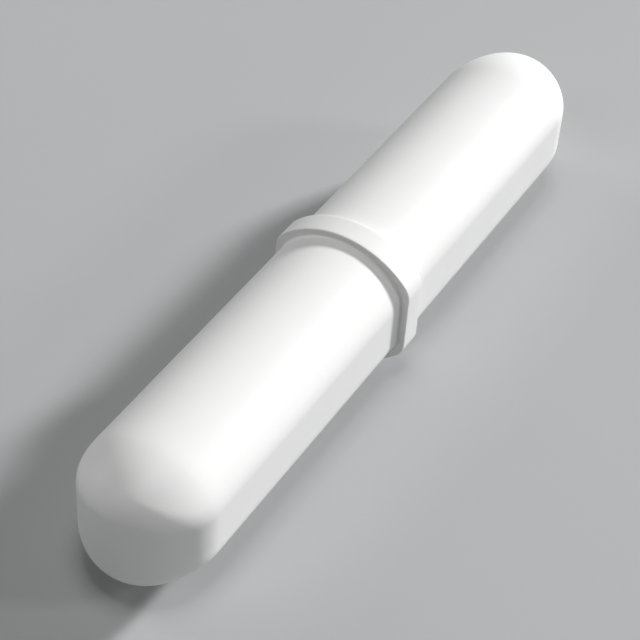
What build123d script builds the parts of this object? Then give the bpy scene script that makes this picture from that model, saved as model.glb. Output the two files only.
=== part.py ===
"""Magnetic stir bar: a rod magnet sealed in a moulded PTFE jacket with a pivot ring round its middle.

The bar lies along X and stands on the lowest line of its pivot ring, at Z = 0 under the bar's centre.
All sizes are in millimetres.
"""

import os

from build123d import *

# Body: flat sides, arched top and bottom, and ends that are round in plan and curve down at the crowns
BODY_LENGTH = 50.0
BODY_WIDTH = 8.5
BODY_HEIGHT = 8.6
BODY_SIDE_HEIGHT = 3.7  # between the corners that the two arches make with a flat side, before rounding
BODY_EDGE_RADIUS = 1.7
END_FALL_LENGTH = 4.7  # the last stretch of each end, where the crowns curve down
END_FALL_RADIUS = 8.85

# Pivot ring: a band with the same kind of section, standing out from the body all round
RING_THICKNESS = 1.65
RING_SIDE_STEP = 0.45  # out from the body's flat sides
RING_CROWN_STEP = 0.4  # out from the body's crowns
RING_SIDE_HEIGHT = 4.7  # between the ring's corners, before rounding
RING_CORNER_RADIUS = 1.45
RING_ROOT_RADIUS = 0.12  # where the ring's faces meet the body
RING_RIM_RADIUS = 0.06  # along the ring's outer edges

# Magnet: it fills its cavity, because the jacket is moulded round it
MAGNET_DIAMETER = 5.0
MAGNET_END_CHAMFER = 0.4
END_WALL = 4.0  # jacket between the magnet's end and the tip of the bar

# A form that trims another runs this far past it
TRIM_OVERRUN = 1.0

ring_width = BODY_WIDTH + 2 * RING_SIDE_STEP
ring_height = BODY_HEIGHT + 2 * RING_CROWN_STEP
ring_corner_height = RING_SIDE_HEIGHT / 2
magnet_length = BODY_LENGTH - 2 * END_WALL

# The planes meet at the middle of the bar, half the ring's height above what the bar stands on
bar_centre = (0, 0, ring_height / 2)
plan_plane = Plane(origin=bar_centre, x_dir=(1, 0, 0), z_dir=(0, 0, 1))
side_plane = Plane(origin=bar_centre, x_dir=(1, 0, 0), z_dir=(0, -1, 0))
cross_plane = Plane(origin=bar_centre, x_dir=(0, 1, 0), z_dir=(1, 0, 0))


# ---------------------------------------------------------------- magnet

with BuildPart() as bar_magnet:
    with BuildSketch(cross_plane.offset(-magnet_length / 2)):
        Circle(MAGNET_DIAMETER / 2)
    extrude(amount=magnet_length)
    chamfer(bar_magnet.edges().filter_by(GeomType.CIRCLE), MAGNET_END_CHAMFER)


# ---------------------------------------------------------------- form under the upper arch

# The arch runs from the upper corner of one flat side to the other, over the crown
half_width = BODY_WIDTH / 2
arch_rise = (BODY_HEIGHT - BODY_SIDE_HEIGHT) / 2
arch_radius = (half_width**2 + arch_rise**2) / (2 * arch_rise)

# Heights above the bar's centre
crown_height = BODY_HEIGHT / 2
turning_axis_height = crown_height - arch_radius

# The crown line is straight, then falls along an arc, which is carried on past the tip
fall_start = BODY_LENGTH / 2 - END_FALL_LENGTH
fall_end = BODY_LENGTH / 2 + TRIM_OVERRUN
fall_depth = END_FALL_RADIUS - (END_FALL_RADIUS**2 - (fall_end - fall_start) ** 2) ** 0.5

with BuildPart() as arch_form:
    with BuildSketch(side_plane):
        with BuildLine():
            end_line = Line((-fall_end, turning_axis_height), (-fall_end, crown_height - fall_depth))
            rise = RadiusArc(end_line @ 1, (-fall_start, crown_height), END_FALL_RADIUS)
            crown = Line(rise @ 1, (fall_start, crown_height))
            fall = RadiusArc(crown @ 1, (fall_end, crown_height - fall_depth), END_FALL_RADIUS)
            Polyline(fall @ 1, (fall_end, turning_axis_height), end_line @ 0)
        make_face()
    turning_axis_point = side_plane.from_local_coords((0, turning_axis_height, 0))
    revolve(axis=Axis(turning_axis_point, (1, 0, 0)))
    # Below the turning axis the form is wider than the body, so that only the arch above it trims
    with BuildSketch(plan_plane.offset(turning_axis_height)):
        Rectangle(2 * fall_end, 2 * (arch_radius + TRIM_OVERRUN))
    extrude(amount=-BODY_HEIGHT)


# ---------------------------------------------------------------- jacket

with BuildPart() as ptfe_jacket:
    # Body: the plan outline, kept where it lies under the upper arch and over its mirror image
    with BuildSketch(plan_plane.offset(-BODY_HEIGHT)):
        SlotOverall(BODY_LENGTH, BODY_WIDTH)
    extrude(amount=2 * BODY_HEIGHT)
    add(arch_form.part, mode=Mode.INTERSECT)
    add(arch_form.part.mirror(plan_plane), mode=Mode.INTERSECT)

    # Soft edge along both flat sides and round both ends, above and below
    body_edges = ptfe_jacket.edges()
    seams_within_faces = body_edges.filter_by(GeomType.CIRCLE) + body_edges.filter_by(Axis.Z)
    fillet(body_edges - seams_within_faces, BODY_EDGE_RADIUS)

    # Pivot ring, moulded in one with the body
    with BuildSketch(cross_plane.offset(-RING_THICKNESS / 2)) as ring_section:
        with BuildLine():
            near_side = Line((-ring_width / 2, -ring_corner_height), (-ring_width / 2, ring_corner_height))
            upper_arch = ThreePointArc(
                near_side @ 1, (0, ring_height / 2), (ring_width / 2, ring_corner_height)
            )
            far_side = Line(upper_arch @ 1, (ring_width / 2, -ring_corner_height))
            ThreePointArc(far_side @ 1, (0, -ring_height / 2), near_side @ 0)
        make_face()
        fillet(ring_section.vertices(), RING_CORNER_RADIUS)
    extrude(amount=RING_THICKNESS)

    ring_faces = ptfe_jacket.faces().filter_by(Axis.X)
    root_wires = [wire for face in ring_faces for wire in face.inner_wires()]
    fillet([edge for wire in root_wires for edge in wire.edges()], RING_ROOT_RADIUS)
    ring_faces = ptfe_jacket.faces().filter_by(Axis.X)
    rim_wires = [face.outer_wire() for face in ring_faces]
    fillet([edge for wire in rim_wires for edge in wire.edges()], RING_RIM_RADIUS)

    # Cavity, filled by the magnet
    add(bar_magnet.part, mode=Mode.SUBTRACT)


# ---------------------------------------------------------------- files

bar_magnet.part.label = "bar_magnet"
ptfe_jacket.part.label = "ptfe_jacket"

os.makedirs("parts", exist_ok=True)
export_step(bar_magnet.part, "parts/bar_magnet.step")
export_step(ptfe_jacket.part, "parts/ptfe_jacket.step")
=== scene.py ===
"""Looks of the magnetic stir bar: moulded jacket as one smooth surface, finishes, floor, lamps and camera.

Lengths are in metres. The bar lies along X, and its sides face -Y and +Y.
"""

import math

import bmesh
import bpy
import numpy as np
from mathutils import Matrix, Vector


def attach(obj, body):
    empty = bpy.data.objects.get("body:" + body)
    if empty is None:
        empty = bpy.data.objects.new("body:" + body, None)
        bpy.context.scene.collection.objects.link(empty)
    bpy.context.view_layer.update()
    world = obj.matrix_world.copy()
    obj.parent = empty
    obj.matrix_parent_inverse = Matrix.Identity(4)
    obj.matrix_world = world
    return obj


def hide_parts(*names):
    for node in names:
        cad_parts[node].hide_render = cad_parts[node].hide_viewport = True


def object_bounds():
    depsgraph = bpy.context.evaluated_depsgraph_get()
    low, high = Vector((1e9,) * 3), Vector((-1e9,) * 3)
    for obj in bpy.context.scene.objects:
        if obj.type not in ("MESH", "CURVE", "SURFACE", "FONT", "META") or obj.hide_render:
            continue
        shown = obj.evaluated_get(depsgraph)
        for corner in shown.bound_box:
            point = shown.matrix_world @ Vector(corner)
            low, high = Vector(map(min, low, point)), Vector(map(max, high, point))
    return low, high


MM = 0.001

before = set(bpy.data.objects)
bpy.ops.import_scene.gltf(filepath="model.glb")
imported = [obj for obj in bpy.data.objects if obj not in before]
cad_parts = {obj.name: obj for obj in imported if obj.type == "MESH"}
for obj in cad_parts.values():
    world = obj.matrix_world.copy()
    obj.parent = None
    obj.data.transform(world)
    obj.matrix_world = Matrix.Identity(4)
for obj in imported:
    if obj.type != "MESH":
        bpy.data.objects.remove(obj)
cad_low, cad_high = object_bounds()

# ---------------------------------------------------------------- sizes

# The ring is the widest and tallest part of the bar, so the frame's box gives its size
BAR_LENGTH = cad_high.x - cad_low.x
RING_WIDTH = cad_high.y - cad_low.y
RING_HEIGHT = cad_high.z - cad_low.z
BAR_CENTRE = (cad_low + cad_high) / 2
FLOOR_HEIGHT = cad_low.z

RING_THICKNESS = 1.65 * MM
RING_SIDE_STEP = 0.45 * MM
RING_CROWN_STEP = 0.4 * MM
RING_SIDE_HEIGHT = 4.7 * MM
RING_CORNER_RADIUS = 1.45 * MM
RING_ROOT_RADIUS = 0.12 * MM
RING_RIM_RADIUS = 0.06 * MM

BODY_WIDTH = RING_WIDTH - 2 * RING_SIDE_STEP
BODY_HEIGHT = RING_HEIGHT - 2 * RING_CROWN_STEP
BODY_SIDE_HEIGHT = 3.7 * MM
BODY_EDGE_RADIUS = 1.7 * MM
END_FALL_LENGTH = 4.7 * MM
END_FALL_RADIUS = 8.85 * MM

# Steps of the surface's grid: from the spine to the edge, over the edge and down the wall
DOME_STEPS = 26
EDGE_STEPS = 12
WALL_STEPS = 8
# Round each end, and along each side from an end's centre to the ring
END_STEPS = 64
SIDE_STEPS = 44
# Over each of the ring's small radii, up its face and over half of its rim
RING_CORNER_STEPS = 6
RING_FACE_STEPS = 5
RING_RIM_STEPS = 5

# Points closer together than this are one point
WELD_DISTANCE = 0.0005 * MM


# ---------------------------------------------------------------- jacket surface


def arch_radius(width, height, side_height):
    """Radius of the circle through both corners and the crown.

    It is half the span squared plus the rise squared, over twice the rise.
    """
    half_span = width / 2
    rise = (height - side_height) / 2
    return (half_span**2 + rise**2) / (2 * rise)


def meridians(foot, outward, width, height, side_height, edge_radius, falling):
    """Half sections of an arched bar, one for each foot on its spine, from the upper spine to the lower one.

    A ball of the edge's radius rolls inside the bar, against its dome. Its centre is sqrt(rho^2 - y^2) above
    the arch's axis, where rho is its distance from that axis. On a falling bar, whose dome drops towards the
    ends, rho shrinks along a circle past the start of the fall. The surface is the ball's centre plus its
    radius times the dome's normal, which turns evenly to level at the edge. From there the wall goes straight
    down to the mirror image below.
    """
    arch = arch_radius(width, height, side_height)
    axis_height = height / 2 - arch
    reach = width / 2 - edge_radius

    share = np.concatenate([np.linspace(0, 1, DOME_STEPS + 1), np.ones(EDGE_STEPS)])
    turn = np.concatenate([np.zeros(DOME_STEPS + 1), np.linspace(0, 1, EDGE_STEPS + 1)[1:]])

    x = foot[:, None] + outward[:, :1] * reach * share
    y = outward[:, 1:] * reach * share
    if falling:
        past_start = np.maximum(np.abs(x) - (BAR_LENGTH / 2 - END_FALL_LENGTH), 0)
        pitch = np.arcsin(past_start / (END_FALL_RADIUS - edge_radius))
        rho = arch - END_FALL_RADIUS + (END_FALL_RADIUS - edge_radius) * np.cos(pitch)
    else:
        pitch = np.zeros_like(x)
        rho = np.full_like(x, arch - edge_radius)
    lean = np.arcsin(y / rho)
    ball = np.stack([x, y, axis_height + rho * np.cos(lean)], axis=-1)
    dome = np.stack(
        [np.sign(x) * np.sin(pitch), np.cos(pitch) * np.sin(lean), np.cos(pitch) * np.cos(lean)], axis=-1
    )
    level = np.zeros_like(dome)
    level[..., :2] = outward[:, None, :]

    # The normal turns from the dome's to level at an even rate
    angle = np.arccos(np.clip((dome * level).sum(-1), -1, 1))[..., None]
    turned = turn[None, :, None]
    normal = (np.sin((1 - turned) * angle) * dome + np.sin(turned * angle) * level) / np.sin(angle)
    upper = ball + edge_radius * normal

    down = np.linspace(1, -1, WALL_STEPS + 1)[1:-1]
    wall = upper[:, -1:, :] * np.stack([np.ones_like(down), np.ones_like(down), down], axis=-1)
    lower = upper[:, ::-1, :] * np.array([1, 1, -1])
    return np.concatenate([upper, wall, lower], axis=1)


def ring_profile():
    """Stations across the ring: place along the bar, share of the way up to the ring, and offset outwards.

    Each small radius is a quarter circle: radius times (1 - cos) one way, radius times (1 - sin) the other.
    """
    half = RING_THICKNESS / 2
    quarter = np.linspace(0, math.pi / 2, RING_CORNER_STEPS + 1)
    face = np.linspace(0, 1, RING_FACE_STEPS + 1)[1:-1]
    flat = np.linspace(-1, 0, RING_RIM_STEPS + 1)[1:]

    root_x = -half - RING_ROOT_RADIUS * (1 - np.sin(quarter))
    root_offset = RING_ROOT_RADIUS * (1 - np.cos(quarter))
    face_offset = RING_ROOT_RADIUS * (1 - face) - RING_RIM_RADIUS * face
    rim_x = -half + RING_RIM_RADIUS * (1 - np.cos(quarter))
    rim_offset = -RING_RIM_RADIUS * (1 - np.sin(quarter))
    flat_x = flat * (half - RING_RIM_RADIUS)

    x = np.concatenate([root_x, np.full_like(face, -half), rim_x, flat_x])
    share = np.concatenate([np.zeros_like(quarter), face, np.ones_like(quarter), np.ones_like(flat)])
    offset = np.concatenate([root_offset, face_offset, rim_offset, np.zeros_like(flat)])

    # The other half is the mirror image, without the middle station
    return (
        np.concatenate([x, -x[-2::-1]]),
        np.concatenate([share, share[-2::-1]]),
        np.concatenate([offset, offset[-2::-1]]),
    )


def side_stations(side):
    """Half sections along one side, from the -X end's centre to the +X end's, with the ring in the middle.

    Across the ring a point is body + direction * (share * gap + offset). Gap and direction lead from the
    body's section to the ring's.
    """
    end_centre = BAR_LENGTH / 2 - BODY_WIDTH / 2
    ring_x, share, offset = ring_profile()
    plain = np.linspace(-end_centre, ring_x[0], SIDE_STEPS + 1)[:-1]
    feet = np.concatenate([plain, ring_x, -plain[::-1]])
    outward = np.tile([0.0, side], (len(feet), 1))
    stations = meridians(
        feet, outward, BODY_WIDTH, BODY_HEIGHT, BODY_SIDE_HEIGHT, BODY_EDGE_RADIUS, falling=True
    )

    across = slice(SIDE_STEPS, SIDE_STEPS + len(ring_x))
    body = stations[across]
    ring = meridians(
        ring_x, outward[across], RING_WIDTH, RING_HEIGHT, RING_SIDE_HEIGHT, RING_CORNER_RADIUS, falling=False
    )
    gap = np.linalg.norm(ring - body, axis=-1, keepdims=True)
    direction = (ring - body) / gap
    stations[across] = body + direction * (share[:, None, None] * gap + offset[:, None, None])
    return stations


def end_stations(end):
    """Half sections fanned about the centre of one round end, without the two that the sides already have."""
    swing = np.linspace(-math.pi / 2, math.pi / 2, END_STEPS + 1)[1:-1]
    outward = end * np.stack([np.cos(swing), np.sin(swing)], axis=-1)
    feet = np.full(len(swing), end * (BAR_LENGTH / 2 - BODY_WIDTH / 2))
    return meridians(
        feet, outward, BODY_WIDTH, BODY_HEIGHT, BODY_SIDE_HEIGHT, BODY_EDGE_RADIUS, falling=True
    )


def closed_band(stations):
    """Faces of a grid whose last station joins its first, as four indices a row."""
    count, length = stations.shape[:2]
    i, j = np.meshgrid(np.arange(count), np.arange(length - 1), indexing="ij")
    following = (i + 1) % count
    corners = [i * length + j, i * length + j + 1, following * length + j + 1, following * length + j]
    return np.stack(corners, axis=-1).reshape(-1, 4)


def weld(mesh):
    """Joins the points that meet along the spines and at their ends, and turns every face outwards."""
    work = bmesh.new()
    work.from_mesh(mesh)
    bmesh.ops.remove_doubles(work, verts=work.verts, dist=WELD_DISTANCE)
    bmesh.ops.recalc_face_normals(work, faces=work.faces)
    work.to_mesh(mesh)
    work.free()


def moulded_jacket():
    """The whole outside of the jacket: -Y side, +X end, +Y side and -X end as one closed band."""
    stations = np.concatenate(
        [side_stations(-1.0), end_stations(1.0), side_stations(1.0)[::-1], end_stations(-1.0)]
    )
    points = stations.reshape(-1, 3) + np.array(BAR_CENTRE)
    mesh = bpy.data.meshes.new("moulded_jacket")
    mesh.from_pydata(points.tolist(), [], closed_band(stations).tolist())
    weld(mesh)
    mesh.shade_smooth()
    jacket = bpy.data.objects.new("moulded_jacket", mesh)
    bpy.context.scene.collection.objects.link(jacket)
    return jacket


# ---------------------------------------------------------------- finishes


class Number:
    """A number inside a material. Arithmetic on it adds Math nodes."""

    def __init__(self, finish, socket):
        self.finish = finish
        self.socket = socket

    def _math(self, operation, first, second):
        made = self.finish.node("ShaderNodeMath", {"operation": operation}, {0: first, 1: second})
        return Number(self.finish, made.outputs[0])

    def __add__(self, other):
        return self._math("ADD", self, other)

    def __radd__(self, other):
        return self._math("ADD", other, self)

    def __mul__(self, other):
        return self._math("MULTIPLY", self, other)

    def __rmul__(self, other):
        return self._math("MULTIPLY", other, self)


class Finish:
    """A material with one method that adds a node."""

    def __init__(self, name):
        self.material = bpy.data.materials.new(name)
        self.material.use_nodes = True
        self.tree = self.material.node_tree
        self.tree.nodes.clear()

    def node(self, kind, settings, inputs):
        """Adds a node, makes its settings first, then gives its sockets their values or links."""
        made = self.tree.nodes.new(kind)
        for name, value in settings.items():
            setattr(made, name, value)
        for name, value in inputs.items():
            if isinstance(value, Number):
                value = value.socket
            if isinstance(value, bpy.types.NodeSocket):
                self.tree.links.new(value, made.inputs[name])
            else:
                made.inputs[name].default_value = value
        return made

    def noise(self, vector, feature_size, detail, roughness):
        """Soft noise from 0 to 1 about one half, with features of the given size in metres."""
        sockets = {"Vector": vector, "Scale": 1 / feature_size, "Detail": detail, "Roughness": roughness}
        return Number(self, self.node("ShaderNodeTexNoise", {}, sockets).outputs["Fac"])

    def place(self):
        """Object coordinates."""
        return self.node("ShaderNodeTexCoord", {}, {}).outputs["Object"]

    def stretched(self, vector, scale):
        """Coordinates multiplied along each axis."""
        return self.node("ShaderNodeMapping", {}, {"Vector": vector, "Scale": scale}).outputs["Vector"]

    def blend(self, amount, first, second):
        """A colour between two, by an amount from 0 to 1."""
        made = self.node("ShaderNodeMix", {"data_type": "RGBA"}, {"Factor": amount})
        for socket, value in zip([s for s in made.inputs if s.type == "RGBA"], (first, second)):
            socket.default_value = (*value, 1)
        return [s for s in made.outputs if s.type == "RGBA"][0]

    def bump(self, height, distance):
        """A normal bent by a height from 0 to 1, which stands for this distance in metres."""
        made = self.node("ShaderNodeBump", {}, {"Height": height, "Strength": 1.0, "Distance": distance})
        return made.outputs["Normal"]

    def surface(self, **sockets):
        """The finished surface: a Principled shader with these sockets, named with _ for a space."""
        named = {name.replace("_", " "): value for name, value in sockets.items()}
        shader = self.node("ShaderNodeBsdfPrincipled", {}, named)
        self.node("ShaderNodeOutputMaterial", {}, {"Surface": shader.outputs[0]})
        return self.material


def milky_ptfe():
    """Sintered PTFE: milky, waxy and a little translucent, with a fine moulded grain."""
    finish = Finish("milky_ptfe")
    place = finish.place()
    cloud = finish.noise(place, feature_size=5 * MM, detail=3, roughness=0.5)
    grain = finish.noise(place, feature_size=0.16 * MM, detail=4, roughness=0.6)
    drawn_along = finish.stretched(place, scale=(0.12, 1, 1))
    flow = finish.noise(drawn_along, feature_size=0.35 * MM, detail=3, roughness=0.6)
    height = 0.55 * grain + 0.3 * flow + 0.15 * cloud
    return finish.surface(
        Base_Color=finish.blend(cloud, first=(0.895, 0.895, 0.885), second=(0.925, 0.928, 0.925)),
        Roughness=0.34 + 0.12 * cloud + 0.06 * grain,
        IOR=1.36,
        Subsurface_Weight=0.06,
        Subsurface_Radius=(1.0, 1.0, 1.0),
        Subsurface_Scale=0.25 * MM,
        Normal=finish.bump(height, distance=0.006 * MM),
    )


def cast_magnet_alloy():
    """Cast magnet alloy, ground round: dark grey metal with turned lines round it and a fine cast grain."""
    finish = Finish("cast_magnet_alloy")
    place = finish.place()
    drawn_round = finish.stretched(place, scale=(1, 0.02, 0.02))
    grinding = finish.noise(drawn_round, feature_size=0.08 * MM, detail=3, roughness=0.6)
    casting = finish.noise(place, feature_size=0.6 * MM, detail=4, roughness=0.6)
    return finish.surface(
        Base_Color=finish.blend(casting, first=(0.22, 0.22, 0.225), second=(0.36, 0.36, 0.365)),
        Metallic=1.0,
        Roughness=0.3 + 0.2 * grinding,
        Normal=finish.bump(0.7 * grinding + 0.3 * casting, distance=0.01 * MM),
    )


def pale_floor_paint():
    """Plain matt floor with a barely uneven tone."""
    finish = Finish("pale_floor_paint")
    tone = finish.noise(finish.place(), feature_size=60 * MM, detail=2, roughness=0.5)
    return finish.surface(
        Base_Color=finish.blend(tone, first=(0.46, 0.465, 0.47), second=(0.48, 0.485, 0.49)),
        Roughness=0.9,
    )


def give_finish(piece, material):
    """One material over the whole piece."""
    piece.data.materials.clear()
    piece.data.materials.append(material)


# ---------------------------------------------------------------- camera

# The camera looks down on the bar's -X end and -Y side, and is rolled a little
CAMERA_AZIMUTH = math.radians(-62.04)
CAMERA_ELEVATION = math.radians(43.11)
CAMERA_ROLL = math.radians(4.45)
CAMERA_DISTANCE = 117.7 * MM
# Steps to its right and up, away from where it would see the bar's centre in the middle
CAMERA_ASIDE = (-1.622 * MM, -2.003 * MM)
# Width of the sensor and focal length, in millimetres
CAMERA_SENSOR = 36.0
CAMERA_LENS = 107.15
# The camera sees from its distance over this number to its distance times this number
CAMERA_CLIP_FACTOR = 100


def aim_camera():
    """Looks along minus back; right and up are turned about it by the roll."""
    level = math.cos(CAMERA_ELEVATION)
    back = np.array(
        [math.sin(CAMERA_AZIMUTH) * level, -math.cos(CAMERA_AZIMUTH) * level, math.sin(CAMERA_ELEVATION)]
    )
    flat_right = np.array([math.cos(CAMERA_AZIMUTH), math.sin(CAMERA_AZIMUTH), 0])
    flat_up = np.cross(back, flat_right)
    right = math.cos(CAMERA_ROLL) * flat_right + math.sin(CAMERA_ROLL) * flat_up
    up = math.cos(CAMERA_ROLL) * flat_up - math.sin(CAMERA_ROLL) * flat_right
    stand = np.array(BAR_CENTRE) + back * CAMERA_DISTANCE + right * CAMERA_ASIDE[0] + up * CAMERA_ASIDE[1]

    lens = bpy.data.cameras.new("camera")
    lens.sensor_width = CAMERA_SENSOR
    lens.lens = CAMERA_LENS
    lens.clip_start = CAMERA_DISTANCE / CAMERA_CLIP_FACTOR
    lens.clip_end = CAMERA_DISTANCE * CAMERA_CLIP_FACTOR
    camera = bpy.data.objects.new("camera", lens)
    pose = np.eye(4)
    pose[:3] = np.stack([right, up, back, stand], axis=1)
    camera.matrix_world = Matrix(pose.tolist())
    bpy.context.scene.collection.objects.link(camera)
    bpy.context.scene.camera = camera


# ---------------------------------------------------------------- floor and light

# Soft square lamps round the bar. Turn is from +X towards -Y and rise is up from the floor, both in degrees.
# Side is the lamp's size, and power is in watts
LAMPS = {
    "key_light": {"turn": 23, "rise": 22, "side": 175 * MM, "power": 29},
    "side_light": {"turn": 62, "rise": 25, "side": 200 * MM, "power": 3.1},
    "overhead_light": {"turn": 0, "rise": 90, "side": 500 * MM, "power": 5.8},
    "back_light": {"turn": -90, "rise": 30, "side": 500 * MM, "power": 2.8},
    "end_light": {"turn": 195, "rise": 40, "side": 500 * MM, "power": 2.4},
}
LAMP_DISTANCE = 1500 * MM
FLOOR_SIDE = 6000 * MM


def lay_floor():
    """A square floor under the ring."""
    half = FLOOR_SIDE / 2
    corners = [(-half, -half), (half, -half), (half, half), (-half, half)]
    points = [(x, y, FLOOR_HEIGHT) for x, y in corners]
    mesh = bpy.data.meshes.new("floor")
    mesh.from_pydata(points, [], [(0, 1, 2, 3)])
    floor = bpy.data.objects.new("floor", mesh)
    bpy.context.scene.collection.objects.link(floor)
    give_finish(floor, pale_floor_paint())


def hang_lamp(name, turn, rise, side, power):
    """One soft square lamp that faces the bar's centre."""
    flat_turn = math.radians(turn)
    raised = math.radians(rise)
    towards = Vector(
        (math.cos(flat_turn) * math.cos(raised), -math.sin(flat_turn) * math.cos(raised), math.sin(raised))
    )
    lamp = bpy.data.lights.new(name, "AREA")
    lamp.shape = "SQUARE"
    lamp.size = side
    lamp.energy = power
    hung = bpy.data.objects.new(name, lamp)
    hung.location = BAR_CENTRE + towards * LAMP_DISTANCE
    hung.rotation_mode = "QUATERNION"
    hung.rotation_quaternion = towards.to_track_quat("Z", "Y")
    bpy.context.scene.collection.objects.link(hung)


# ---------------------------------------------------------------- the scene

aim_camera()
jacket = moulded_jacket()
give_finish(jacket, milky_ptfe())
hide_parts("ptfe_jacket")
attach(jacket, "root")
give_finish(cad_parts["bar_magnet"], cast_magnet_alloy())
lay_floor()
for name, placing in LAMPS.items():
    hang_lamp(name, **placing)
bpy.context.scene.view_settings.view_transform = "Standard"
